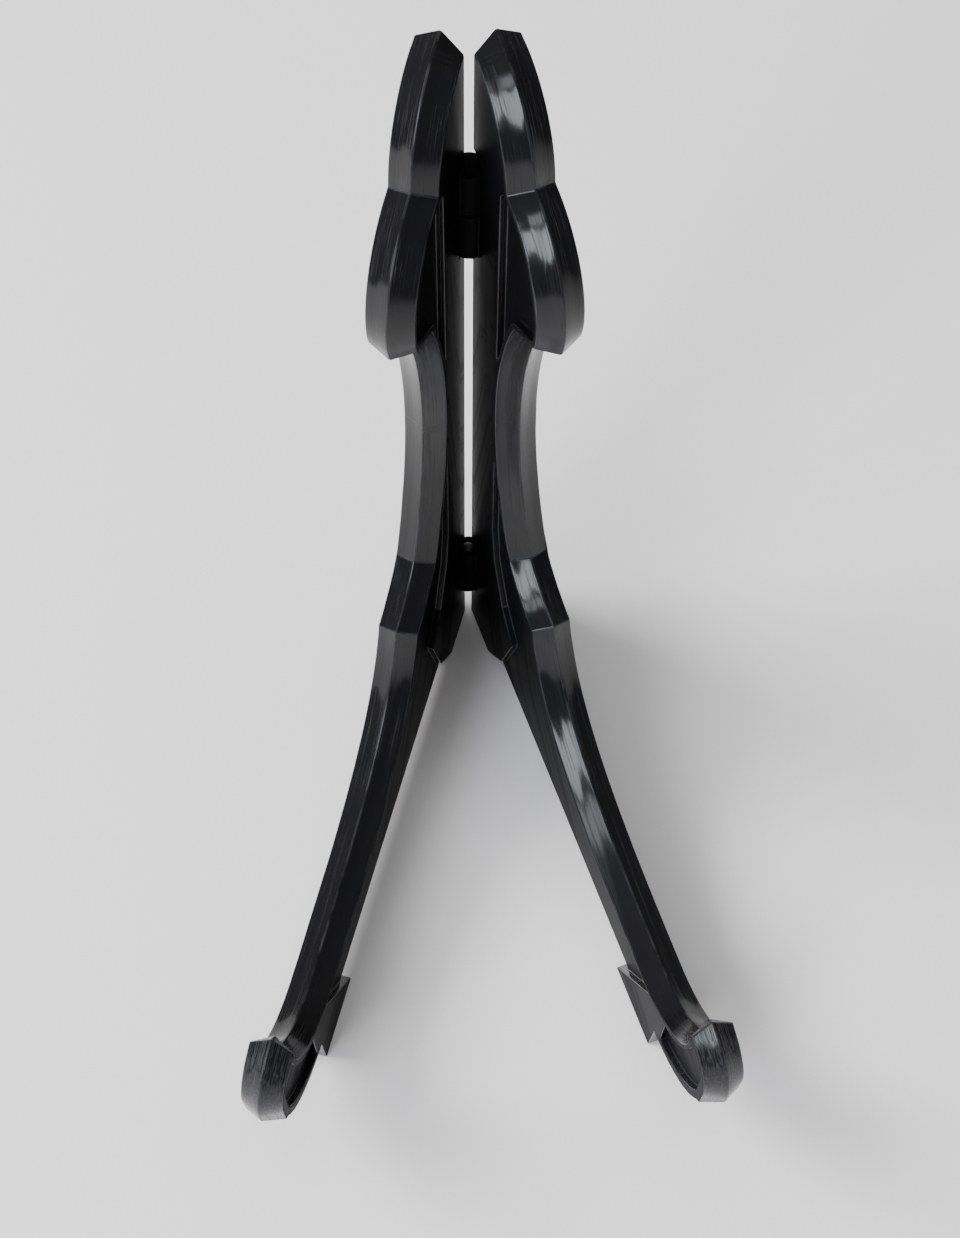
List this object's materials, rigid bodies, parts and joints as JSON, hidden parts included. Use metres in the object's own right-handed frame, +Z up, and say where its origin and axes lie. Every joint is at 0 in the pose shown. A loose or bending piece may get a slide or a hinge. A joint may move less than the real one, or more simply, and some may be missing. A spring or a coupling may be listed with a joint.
{
  "type": "photo album stand",
  "caption": "Folding black plastic album stand: scalloped uprights with forward arms and upturned lips, joined by a book hinge and opened in a V.",
  "frame": {"origin": "centre of the bounding box, on the table plane under the stand", "axes": "+Z up from the table and along the hinge; -Y towards the open front of the V, where the lips are; +X towards the stand's right half as seen from the front"},
  "size_m": [0.1046, 0.142, 0.1962],
  "materials": {
    "half_plastic": "glossy",
    "pin_plastic": "satin"
  },
  "bodies": {
    "left": {"left_half": "half_plastic", "upper_hinge_pin": "pin_plastic", "lower_hinge_pin": "pin_plastic"},
    "right": {"right_half": "half_plastic"}
  },
  "joints": [
    {"name": "book_hinge", "type": "hinge", "parent": "left", "child": "right", "pos_m": [0, 0.06534, 0], "axis": [0, 0, 1], "range_deg": [-34.8, 55.2]}
  ]
}
